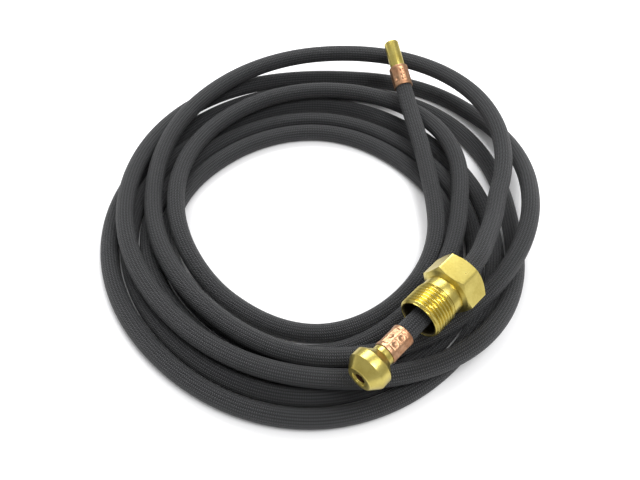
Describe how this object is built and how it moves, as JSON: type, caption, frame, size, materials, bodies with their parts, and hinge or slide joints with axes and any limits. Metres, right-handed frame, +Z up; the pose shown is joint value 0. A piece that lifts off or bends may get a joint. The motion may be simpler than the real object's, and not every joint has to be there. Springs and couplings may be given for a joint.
{
  "type": "tig torch power cable",
  "caption": "Coiled TIG torch power cable: braided rubber gas hose over a copper conductor, with a crimped brass nose and a loose male nut at one end and a plain brass stub at the other.",
  "frame": {"origin": "on the floor, under the middle of the part's bounding box, close to the axis of the coil", "axes": "+Z up, square to the plane that the coil lies in; -Y towards the side where the nose and the nut lie, +Y towards the plain stub; +X to the right of a person who looks along +Y"},
  "size_m": [0.2483, 0.2595, 0.0487],
  "materials": {
    "brass_fittings": "machined, lightly polished yellow brass",
    "copper_ferrules": "crimped soft copper, bright where pressed",
    "copper_wire": "bare stranded copper, seen only in the bores",
    "hose_cover": "black braided textile bonded into the rubber hose"
  },
  "bodies": {
    "cable": {"nose_nipple": "brass_fittings", "nose_ferrule": "copper_ferrules", "hose_power_lead": "hose_cover", "hose_coil": "hose_cover", "hose_torch_lead": "hose_cover", "copper_conductor": "copper_wire", "torch_ferrule": "copper_ferrules", "torch_stub": "brass_fittings"},
    "nut": {"male_nut": "brass_fittings"}
  },
  "joints": [
    {"name": "nut_slide", "type": "slide", "parent": "cable", "child": "nut", "axis": [-0.6884, -0.7254, 0], "range_m": [-0.005, 0.0305]}
  ]
}
